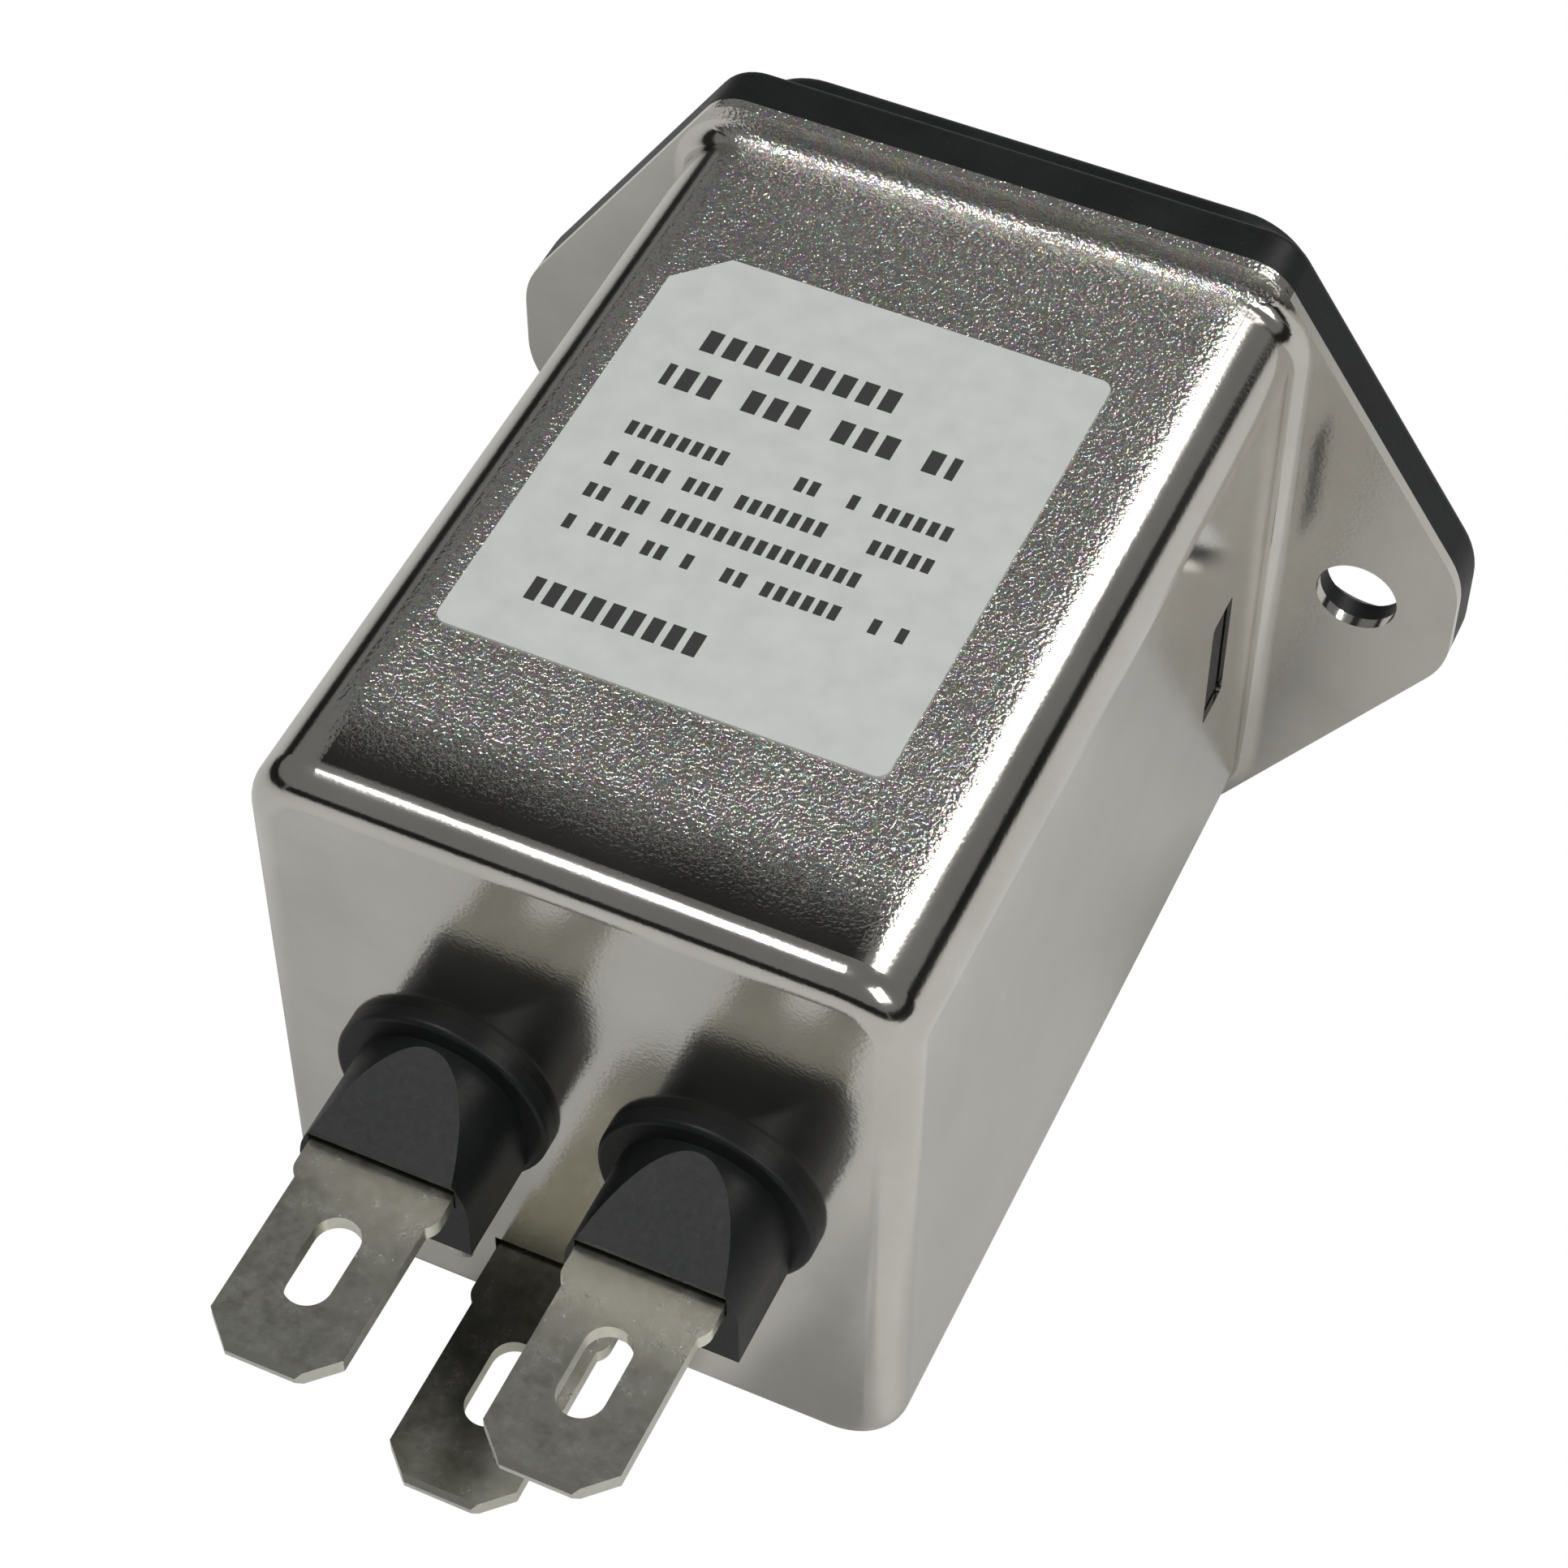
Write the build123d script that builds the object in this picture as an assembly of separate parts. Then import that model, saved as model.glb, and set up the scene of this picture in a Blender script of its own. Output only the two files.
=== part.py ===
from build123d import *
import os

# Filtered power inlet: a deep-drawn metal can with a screw flange, a moulded inlet
# in its mouth, and tab terminals at its rear. Millimetres, +Z up on the label side.
# X runs across, Y runs from the socket towards the terminals. The origin lies midway
# between the two mounting holes, on the flange face that seats against the panel.

# Mounting pattern
HOLE_PITCH = 40.0
SCREW_HOLE_R = 2.05
COUNTERSINK_R = 3.6
COUNTERSINK_DEPTH = 1.5

# Drawn metal can
SHEET = 0.6
CAN_WIDTH = 30.8
CAN_HEIGHT = 34.6
CAN_LENGTH = 43.7
LONG_EDGE_R = 3.4
REAR_EDGE_R = 1.6
ROOT_R = 0.9

# Flange outline
EAR_REACH = 24.9
FLANGE_RIM = 1.5
FLANGE_TOP_WIDTH = 28.0
EAR_TIP_R = 4.6
EAR_POINT_CUT = 1.9
FLANGE_CORNER_R = 2.6

# Snap windows in the sides of the can
WINDOW_FRONT = 5.4
WINDOW_LENGTH = 2.5
WINDOW_HEIGHT = 6.8
WINDOW_CORNER_R = 0.3
LATCH_PLAY = 0.2
LATCH_RISE = 0.35

# Moulded inlet
PLATE_THICK = 2.5
BEZEL_RISE = 2.6
BEZEL_WIDTH = 29.4
BEZEL_HEIGHT = 34.2
BEZEL_CORNER_R = 4.0
BEZEL_EDGE_R = 0.8
PLATE_EDGE_R = 0.6
SKIRT_DEPTH = 9.6
SOCKET_WIDTH = 24.0
SOCKET_HEIGHT = 16.5
SOCKET_DEPTH = 17.0
SOCKET_CHAMFER = 4.4
SOCKET_CORNER_R = 1.5
SOCKET_WALL = 1.6
SOCKET_FLOOR = 2.4
MOULD_PLAY = 0.15

# Contact blades of the inlet
BLADE_WIDTH = 2.0
BLADE_HEIGHT = 4.0
BLADE_PITCH = 14.0
BLADE_ROW_OFFSET = 2.0
BLADE_LENGTH = 15.0
EARTH_LEAD = 1.5
BLADE_TAIL = 4.6
BLADE_NOSE = 0.6

# Tab terminals
TAB_WIDTH = 6.3
TAB_THICK = 0.8
TAB_SHOULDER_WIDTH = 7.0
TAB_SPACING = 12.8
TAB_Z = 0.75
TAB_REACH = 16.6
TAB_SHOULDER_REACH = 8.1
TAB_TIP_CHAMFER = 1.5
TAB_TIP_BEVEL = 0.25
TAB_SHOULDER_R = 0.9
SLOT_WIDTH = 2.2
SLOT_LENGTH = 4.6
SLOT_GAP = 0.8
TAB_INNER_REACH = 4.4

# Earth tab
EARTH_TAB_X = 1.0
EARTH_TAB_RISE = 5.2
EARTH_TAB_REACH = 12.8
EARTH_SHOULDER_REACH = 3.6
EARTH_SLIT_PLAY = 0.25
EARTH_FOOT_DROP = 3.0

# Terminal bushings
BUSHING_COLLAR_R = 5.2
BUSHING_COLLAR_THICK = 0.8
BUSHING_HALF_WIDTH = 4.1
BUSHING_Z = -0.4
BUSHING_BOTTOM_DROP = 2.6
BUSHING_REACH = 6.0
BUSHING_TOP_START = 1.1
BUSHING_LIP = 0.7
BUSHING_INNER_DEPTH = 1.1
BUSHING_MOUTH_DEPTH = 1.4
BUSHING_MOUTH_RISE = 0.45
BUSHING_PLAY = 0.05
TAB_PLAY = 0.05

# Label
LABEL_WIDTH = 21.0
LABEL_LENGTH = 25.2
LABEL_FRONT = 8.1
LABEL_X = 1.0
LABEL_THICK = 0.12
LABEL_CORNER_R = 0.6
LABEL_CUT_CORNER = 2.2

# Filter inside the can
LINER_THICK = 0.5
LINER_FRONT = 20.0
LINER_PLAY = 0.15
BOARD_TOP = -7.4
BOARD_THICK = 1.2
BOARD_FRONT = 15.2
BOARD_END_PLAY = 1.0
BOARD_SIDE_PLAY = 0.2
CORE_R = 7.0
CORE_BORE_R = 3.6
CORE_HEIGHT = 5.0
CORE_CENTRE_Y = 34.0
WINDING_THICK = 0.8
WINDING_ANGLE = 150.0
WEDGE_STEPS = 3
X_CAP_WIDTH = 18.0
X_CAP_LENGTH = 5.6
X_CAP_HEIGHT = 10.5
X_CAP_FRONT = 20.2
X_CAP_EDGE_R = 0.6
REAR_CAP_LENGTH = 9.0
REAR_CAP_HEIGHT = 6.4
REAR_CAP_FRONT = 28.0
Y_CAP_R = 4.0
Y_CAP_THICK = 3.0
Y_CAP_X = 7.0
Y_CAP_Y = 21.5
RESISTOR_R = 1.25
RESISTOR_LENGTH = 7.0
RESISTOR_Y = 17.4
LEAD_R = 0.5
LEAD_OUTSET = 2.2
LEAD_INSET = 2.0
STRAP_WIDTH = 4.0
STRAP_THICK = 0.6
STRAP_FOOT = 2.8

# Places worked out from the sizes above
HALF_WIDTH = CAN_WIDTH / 2
HALF_HEIGHT = CAN_HEIGHT / 2
FLANGE_HEIGHT = CAN_HEIGHT + 2 * FLANGE_RIM
EARTH_TAB_Z = EARTH_TAB_RISE - HALF_HEIGHT
INNER_HALF_WIDTH = HALF_WIDTH - SHEET
INNER_HALF_HEIGHT = HALF_HEIGHT - SHEET
INNER_REAR = CAN_LENGTH - SHEET
PLATE_REAR = -SHEET
PLATE_FRONT = PLATE_REAR - PLATE_THICK
RIM = PLATE_FRONT - BEZEL_RISE
SOCKET_END = RIM + SOCKET_DEPTH
FLOOR_REAR = SOCKET_END + SOCKET_FLOOR
TAB_TOP = TAB_Z + TAB_THICK / 2
BOARD_BOTTOM = BOARD_TOP - BOARD_THICK


def box_between(x0, x1, y0, y1, z0, z1):
    """A box given by its two corners."""
    size = (x1 - x0, y1 - y0, z1 - z0)
    middle = ((x0 + x1) / 2, (y0 + y1) / 2, (z0 + z1) / 2)
    return Pos(*middle) * Box(*size)


def along_y(sketch, y0, y1):
    """A sketch drawn in X and Z, extruded from y0 to y1."""
    plane = Plane(origin=(0, y0, 0), x_dir=(1, 0, 0), z_dir=(0, -1, 0))
    return extrude(plane * sketch, -(y1 - y0))


def rod_z(x, y, radius, z0, z1):
    """A round rod along Z."""
    return Pos(x, y, (z0 + z1) / 2) * Cylinder(radius, z1 - z0)


def rod_y(x, z, radius, y0, y1):
    """A round rod along Y."""
    return along_y(Pos(x, z) * Circle(radius), y0, y1)


def flange_outline():
    """Hexagon with flat top and bottom, two round-tipped ears and round corners."""
    half_top = FLANGE_TOP_WIDTH / 2
    half_height = FLANGE_HEIGHT / 2
    point_reach = EAR_REACH + EAR_POINT_CUT
    half_tip = half_height * EAR_POINT_CUT / (point_reach - half_top)
    corners = [
        (EAR_REACH, half_tip),
        (half_top, half_height),
        (-half_top, half_height),
        (-EAR_REACH, half_tip),
        (-EAR_REACH, -half_tip),
        (-half_top, -half_height),
        (half_top, -half_height),
        (EAR_REACH, -half_tip),
    ]
    outline = make_face(Polyline(*corners, close=True))
    tips = [v for v in outline.vertices() if abs(v.X) > half_top + 1]
    outline = fillet(tips, EAR_TIP_R)
    near = [v for v in outline.vertices() if abs(abs(v.Y) - half_height) < 0.01]
    return fillet(near, FLANGE_CORNER_R)


def mounting_holes(radius, y0, y1):
    """The two screw holes, as solids to cut away."""
    return [rod_y(side * HOLE_PITCH / 2, 0, radius, y0, y1) for side in (-1, 1)]


def can_block(inset, y0, y1):
    """The can as a solid block, rounded along its long edges and round its rear end."""
    width = CAN_WIDTH - 2 * inset
    height = CAN_HEIGHT - 2 * inset
    block = along_y(RectangleRounded(width, height, LONG_EDGE_R - inset), y0, y1)
    rear = block.faces().sort_by(Axis.Y)[-1]
    return fillet(rear.edges(), REAR_EDGE_R - inset)


def snap_windows():
    """The openings in both sides of the can that the inlet's latches spring into."""
    opening = Rectangle(WINDOW_LENGTH, WINDOW_HEIGHT)
    opening = fillet(opening.vertices(), WINDOW_CORNER_R)
    plane = Plane(origin=(0, WINDOW_FRONT + WINDOW_LENGTH / 2, 0), x_dir=(0, 1, 0), z_dir=(1, 0, 0))
    return extrude(plane * opening, CAN_WIDTH, both=True)


def earth_slit():
    """The slit in the rear wall that the earth tab passes through."""
    half = TAB_SHOULDER_WIDTH / 2 + EARTH_SLIT_PLAY
    rise = TAB_THICK / 2 + EARTH_SLIT_PLAY
    return box_between(EARTH_TAB_X - half, EARTH_TAB_X + half, INNER_REAR - 1, CAN_LENGTH + 1,
                       EARTH_TAB_Z - rise, EARTH_TAB_Z + rise)


def make_case():
    """Can and flange, drawn from one sheet."""
    body = can_block(0, -SHEET, CAN_LENGTH)
    flange = along_y(flange_outline(), -SHEET, 0)
    shell = body + flange
    root = [e for e in shell.edges() if abs(e.center().Y) < 0.01
            and abs(e.center().X) <= HALF_WIDTH + 0.01 and abs(e.center().Z) <= HALF_HEIGHT + 0.01]
    shell = fillet(root, ROOT_R)
    shell -= can_block(SHEET, -SHEET - 1, INNER_REAR)
    shell -= mounting_holes(SCREW_HOLE_R, -SHEET - 1, 1)
    shell -= snap_windows()
    neck_hole = BUSHING_HALF_WIDTH + BUSHING_PLAY
    for side in (-1, 1):
        shell -= rod_y(side * TAB_SPACING / 2, BUSHING_Z, neck_hole, INNER_REAR - 1, CAN_LENGTH + 1)
    shell -= earth_slit()
    return shell


def socket_profile(grow):
    """Outline of the socket: a rounded rectangle with two cut corners on the earth side."""
    half_width = SOCKET_WIDTH / 2 + grow
    half_height = SOCKET_HEIGHT / 2 + grow
    cut = SOCKET_CHAMFER
    corners = [
        (half_width, -half_height),
        (half_width, half_height - cut),
        (half_width - cut, half_height),
        (cut - half_width, half_height),
        (-half_width, half_height - cut),
        (-half_width, -half_height),
    ]
    outline = make_face(Polyline(*corners, close=True))
    return fillet(outline.vertices(), SOCKET_CORNER_R)


def blade_centres():
    """Place of each contact blade in X and Z, by node name."""
    return {
        "line_pin": (-BLADE_PITCH / 2, -BLADE_ROW_OFFSET),
        "neutral_pin": (BLADE_PITCH / 2, -BLADE_ROW_OFFSET),
        "earth_pin": (0, BLADE_ROW_OFFSET),
    }


def make_inlet_housing():
    """Front plate, raised bezel, skirt with latches, and the socket that reaches into the can."""
    plate = along_y(flange_outline(), PLATE_FRONT, PLATE_REAR)
    front = plate.faces().sort_by(Axis.Y)[0]
    plate = fillet(front.edges(), PLATE_EDGE_R)
    bezel = along_y(RectangleRounded(BEZEL_WIDTH, BEZEL_HEIGHT, BEZEL_CORNER_R), RIM, PLATE_REAR)
    bezel = fillet(bezel.faces().sort_by(Axis.Y)[0].edges(), BEZEL_EDGE_R)
    skirt_width = 2 * (INNER_HALF_WIDTH - MOULD_PLAY)
    skirt_height = 2 * (INNER_HALF_HEIGHT - MOULD_PLAY)
    skirt = along_y(RectangleRounded(skirt_width, skirt_height, LONG_EDGE_R - SHEET), PLATE_REAR, SKIRT_DEPTH)
    hollow_width = skirt_width - 2 * SOCKET_WALL
    hollow_height = skirt_height - 2 * SOCKET_WALL
    hollow_section = RectangleRounded(hollow_width, hollow_height, SOCKET_CORNER_R)
    hollow = along_y(hollow_section, PLATE_REAR, SKIRT_DEPTH + 1)
    socket = along_y(socket_profile(SOCKET_WALL), PLATE_REAR, FLOOR_REAR)
    housing = plate + bezel + (skirt - hollow) + socket
    latch_y0 = WINDOW_FRONT + LATCH_PLAY
    latch_y1 = WINDOW_FRONT + WINDOW_LENGTH - LATCH_PLAY
    latch_half = WINDOW_HEIGHT / 2 - LATCH_PLAY
    for side in (-1, 1):
        inner = side * (INNER_HALF_WIDTH - SOCKET_WALL)
        outer = side * (INNER_HALF_WIDTH + LATCH_RISE)
        latch = box_between(min(inner, outer), max(inner, outer), latch_y0, latch_y1, -latch_half, latch_half)
        ramp = latch.edges().filter_by(Axis.Z).sort_by(Axis.Y)[-2:].sort_by(Axis.X)[-1 if side > 0 else 0]
        housing += chamfer(ramp, LATCH_RISE)
    housing -= along_y(socket_profile(0), RIM - 1, SOCKET_END)
    housing -= mounting_holes(SCREW_HOLE_R, PLATE_FRONT - 1, PLATE_REAR + 1)
    for side in (-1, 1):
        sink = Cone(COUNTERSINK_R, SCREW_HOLE_R, COUNTERSINK_DEPTH)
        housing -= Pos(side * HOLE_PITCH / 2, PLATE_FRONT + COUNTERSINK_DEPTH / 2, 0) * Rot(-90, 0, 0) * sink
    for x, z in blade_centres().values():
        housing -= along_y(Pos(x, z) * Rectangle(BLADE_WIDTH, BLADE_HEIGHT), SOCKET_END - 1, FLOOR_REAR + 1)
    return housing


def make_blade(x, z, lead):
    """A contact blade with a chamfered nose, and a tail behind the socket floor."""
    blade = along_y(Pos(x, z) * Rectangle(BLADE_WIDTH, BLADE_HEIGHT),
                    SOCKET_END - BLADE_LENGTH - lead, FLOOR_REAR + BLADE_TAIL)
    nose = blade.faces().sort_by(Axis.Y)[0]
    return chamfer(nose.edges(), BLADE_NOSE)


def tab_outline(root, shoulder, tip):
    """Outline of a tab in X and Y, from its root to its tip, with its slot cut out."""
    base = Pos(0, (root + shoulder) / 2) * Rectangle(TAB_SHOULDER_WIDTH, shoulder - root)
    base = fillet(base.vertices().sort_by(Axis.Y)[-2:], TAB_SHOULDER_R)
    tongue = Pos(0, (root + tip) / 2) * Rectangle(TAB_WIDTH, tip - root)
    tongue = chamfer(tongue.vertices().sort_by(Axis.Y)[-2:], TAB_TIP_CHAMFER)
    slot_middle = shoulder + SLOT_GAP + SLOT_LENGTH / 2
    slot = Pos(0, slot_middle) * Rot(0, 0, 90) * SlotOverall(SLOT_LENGTH, SLOT_WIDTH)
    return base + tongue - slot


def make_tab(x, z, root, shoulder, tip):
    """A flat tab with its tip bevelled above and below."""
    flat = extrude(Pos(x, 0, z - TAB_THICK / 2) * tab_outline(root, shoulder, tip), TAB_THICK)
    end = flat.faces().sort_by(Axis.Y)[-1]
    return chamfer(end.edges().filter_by(Axis.X), TAB_TIP_BEVEL)


def make_line_tab():
    """The tab on the -X side."""
    return make_tab(-TAB_SPACING / 2, TAB_Z, INNER_REAR - TAB_INNER_REACH,
                    CAN_LENGTH + TAB_SHOULDER_REACH, CAN_LENGTH + TAB_REACH)


def make_neutral_tab():
    """The tab on the +X side."""
    return make_tab(TAB_SPACING / 2, TAB_Z, INNER_REAR - TAB_INNER_REACH,
                    CAN_LENGTH + TAB_SHOULDER_REACH, CAN_LENGTH + TAB_REACH)


def make_earth_tab():
    """The earth tab, with a foot turned down inside and welded to the rear wall."""
    blade = make_tab(EARTH_TAB_X, EARTH_TAB_Z, INNER_REAR - TAB_THICK,
                     CAN_LENGTH + EARTH_SHOULDER_REACH, CAN_LENGTH + EARTH_TAB_REACH)
    half = TAB_SHOULDER_WIDTH / 2
    foot = box_between(EARTH_TAB_X - half, EARTH_TAB_X + half, INNER_REAR - TAB_THICK, INNER_REAR,
                       EARTH_TAB_Z - TAB_THICK / 2 - EARTH_FOOT_DROP, EARTH_TAB_Z)
    return blade + foot


def bushing_section(half_width):
    """Round-topped section with straight sides and a flat bottom."""
    dome = Circle(half_width)
    drop = BUSHING_BOTTOM_DROP
    block = Pos(0, -drop / 2) * Rectangle(2 * half_width, drop)
    trim = Pos(0, -drop - half_width) * Rectangle(4 * half_width, 2 * half_width)
    return dome + block - trim


def make_bushing(x):
    """Moulded bushing: collar on the rear wall, neck through it, and a nose cut on a slope."""
    wall_rear = CAN_LENGTH
    tip = wall_rear + BUSHING_REACH
    section = Pos(x, BUSHING_Z) * bushing_section(BUSHING_HALF_WIDTH)
    nose = along_y(section, wall_rear, tip)
    crown = BUSHING_Z + BUSHING_HALF_WIDTH
    lip = TAB_TOP + BUSHING_LIP
    slope = [(wall_rear + BUSHING_TOP_START, crown), (tip, lip), (tip + 1, lip), (tip + 1, crown + 1),
             (wall_rear + BUSHING_TOP_START, crown + 1)]
    side_plane = Plane(origin=(x, 0, 0), x_dir=(0, 1, 0), z_dir=(1, 0, 0))
    nose -= extrude(side_plane * make_face(Polyline(*slope, close=True)), 2 * BUSHING_HALF_WIDTH, both=True)
    collar = rod_y(x, BUSHING_Z, BUSHING_COLLAR_R, wall_rear, wall_rear + BUSHING_COLLAR_THICK)
    rim = collar.faces().sort_by(Axis.Y)[-1]
    collar = fillet(rim.edges(), BUSHING_COLLAR_THICK / 3)
    neck = rod_y(x, BUSHING_Z, BUSHING_HALF_WIDTH, INNER_REAR - BUSHING_INNER_DEPTH, wall_rear)
    half = TAB_SHOULDER_WIDTH / 2 + TAB_PLAY
    rise = TAB_THICK / 2 + TAB_PLAY
    passage = box_between(x - half, x + half, INNER_REAR - BUSHING_INNER_DEPTH - 1, tip + 1,
                          TAB_Z - rise, TAB_Z + rise)
    mouth = box_between(x - half, x + half, tip - BUSHING_MOUTH_DEPTH, tip + 1,
                        TAB_Z, TAB_TOP + BUSHING_MOUTH_RISE)
    return nose + collar + neck - passage - mouth


def make_rating_label():
    """Thin sticker on the can's top, with one corner cut off."""
    sheet = Pos(LABEL_X, LABEL_FRONT + LABEL_LENGTH / 2) * Rectangle(LABEL_WIDTH, LABEL_LENGTH)
    corners = sheet.vertices().sort_by(lambda v: v.Y - v.X)
    sheet = chamfer(corners[0], LABEL_CUT_CORNER)
    far = LABEL_FRONT + LABEL_LENGTH - LABEL_CORNER_R
    near = LABEL_FRONT + LABEL_CORNER_R
    rest = [v for v in sheet.vertices() if v.Y > far or (v.Y < near and v.X < LABEL_X)]
    sheet = fillet(rest, LABEL_CORNER_R)
    return extrude(Pos(0, 0, HALF_HEIGHT) * sheet, LABEL_THICK)


def make_insulating_liner():
    """Sleeve that keeps the filter off the can's walls."""
    outer = INNER_HALF_WIDTH - LINER_PLAY, INNER_HALF_HEIGHT - LINER_PLAY
    rear = CAN_LENGTH - REAR_EDGE_R
    radius = LONG_EDGE_R - SHEET
    sleeve = along_y(RectangleRounded(2 * outer[0], 2 * outer[1], radius), LINER_FRONT, rear)
    inner_size = 2 * (outer[0] - LINER_THICK), 2 * (outer[1] - LINER_THICK)
    return sleeve - along_y(RectangleRounded(*inner_size, radius - LINER_THICK), LINER_FRONT - 1, rear + 1)


def make_carrier_board():
    """Board that carries the filter parts, between the liner's side walls."""
    half = INNER_HALF_WIDTH - LINER_PLAY - LINER_THICK - BOARD_SIDE_PLAY
    return box_between(-half, half, BOARD_FRONT, INNER_REAR - BOARD_END_PLAY, BOARD_BOTTOM, BOARD_TOP)


def ring(outer, inner, z0, z1):
    """A ring about the choke's axis."""
    body = rod_z(0, CORE_CENTRE_Y, outer, z0, z1)
    return body - rod_z(0, CORE_CENTRE_Y, inner, z0 - 1, z1 + 1)


def make_choke_core():
    """Ferrite ring of the common-mode choke."""
    base = BOARD_TOP + WINDING_THICK
    return ring(CORE_R, CORE_BORE_R, base, base + CORE_HEIGHT)


def polar_point(radius, degrees):
    """A point of a sketch given by radius and angle."""
    point = Vector(radius, 0, 0).rotate(Axis.Z, degrees)
    return (point.X, point.Y)


def make_choke_winding(side):
    """One of the two windings, wrapped round its share of the ring."""
    top = BOARD_TOP + CORE_HEIGHT + 2 * WINDING_THICK
    wrap = ring(CORE_R + WINDING_THICK, CORE_BORE_R - WINDING_THICK, BOARD_TOP, top)
    start = (90 - WINDING_ANGLE / 2) if side > 0 else (270 - WINDING_ANGLE / 2)
    reach = 4 * CORE_R
    angles = [start - 90 + step * WINDING_ANGLE / WEDGE_STEPS for step in range(WEDGE_STEPS + 1)]
    rim = [polar_point(reach, angle) for angle in angles]
    wedge = make_face(Polyline((0, 0), *rim, close=True))
    sector = extrude(Pos(0, CORE_CENTRE_Y, BOARD_TOP - 1) * wedge, top - BOARD_TOP + 2)
    return (wrap & sector) - make_choke_core()


def make_x_capacitor(front, length, z0, z1):
    """Box-shaped film capacitor across the line."""
    half = X_CAP_WIDTH / 2
    block = box_between(-half, half, front, front + length, z0, z1)
    return fillet(block.edges(), X_CAP_EDGE_R)


def make_y_capacitor(side):
    """Disc capacitor to earth, lying under the board."""
    return rod_z(side * Y_CAP_X, Y_CAP_Y, Y_CAP_R, BOARD_BOTTOM - Y_CAP_THICK, BOARD_BOTTOM)


def make_bleed_resistor():
    """Axial resistor on the board."""
    body = Pos(0, RESISTOR_Y, BOARD_TOP + RESISTOR_R) * Rot(0, 90, 0) * Cylinder(RESISTOR_R, RESISTOR_LENGTH)
    return fillet(body.edges(), RESISTOR_R / 3)


def make_pin_lead(side):
    """Wire from a contact blade's tail down to the board."""
    tail_end = FLOOR_REAR + BLADE_TAIL
    blade_underside = -BLADE_ROW_OFFSET - BLADE_HEIGHT / 2
    return rod_z(side * BLADE_PITCH / 2, tail_end - LEAD_INSET, LEAD_R, BOARD_TOP, blade_underside)


def make_tab_lead(side):
    """Wire from the board up to the inner end of a tab."""
    x = side * (TAB_SPACING / 2 + LEAD_OUTSET)
    y = INNER_REAR - TAB_INNER_REACH + LEAD_R + LEAD_OUTSET / 2
    return rod_z(x, y, LEAD_R, BOARD_TOP, TAB_Z - TAB_THICK / 2)


def make_earth_strap():
    """Strip from the earth blade's tail up to the can, turned over and welded there."""
    rear = LINER_FRONT - LINER_PLAY
    front = rear - STRAP_FOOT
    half = STRAP_WIDTH / 2
    foot = box_between(-half, half, front, rear, INNER_HALF_HEIGHT - STRAP_THICK, INNER_HALF_HEIGHT)
    blade_top = BLADE_ROW_OFFSET + BLADE_HEIGHT / 2
    drop = box_between(-half, half, front, front + STRAP_THICK, blade_top, INNER_HALF_HEIGHT)
    return foot + drop


def make_parts():
    """Every sub-part, by node name."""
    parts = {
        "case": make_case(),
        "inlet_housing": make_inlet_housing(),
        "line_tab": make_line_tab(),
        "neutral_tab": make_neutral_tab(),
        "earth_tab": make_earth_tab(),
        "line_bushing": make_bushing(-TAB_SPACING / 2),
        "neutral_bushing": make_bushing(TAB_SPACING / 2),
        "rating_label": make_rating_label(),
        "insulating_liner": make_insulating_liner(),
        "carrier_board": make_carrier_board(),
        "choke_core": make_choke_core(),
        "line_winding": make_choke_winding(-1),
        "neutral_winding": make_choke_winding(1),
        "front_x_capacitor": make_x_capacitor(X_CAP_FRONT, X_CAP_LENGTH, BOARD_TOP, BOARD_TOP + X_CAP_HEIGHT),
        "rear_x_capacitor": make_x_capacitor(REAR_CAP_FRONT, REAR_CAP_LENGTH,
                                             BOARD_BOTTOM - REAR_CAP_HEIGHT, BOARD_BOTTOM),
        "line_y_capacitor": make_y_capacitor(-1),
        "neutral_y_capacitor": make_y_capacitor(1),
        "bleed_resistor": make_bleed_resistor(),
        "line_pin_lead": make_pin_lead(-1),
        "neutral_pin_lead": make_pin_lead(1),
        "line_tab_lead": make_tab_lead(-1),
        "neutral_tab_lead": make_tab_lead(1),
        "earth_strap": make_earth_strap(),
    }
    for name, (x, z) in blade_centres().items():
        parts[name] = make_blade(x, z, EARTH_LEAD if name == "earth_pin" else 0)
    return parts


def main():
    """Writes one STEP file for each sub-part."""
    os.makedirs("parts", exist_ok=True)
    for name, shape in make_parts().items():
        export_step(shape, f"parts/{name}.step")
        print(name, round(shape.volume, 2))


if __name__ == "__main__":
    main()
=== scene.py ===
import math

import bpy
import numpy as np
from mathutils import Matrix, Vector


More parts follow.
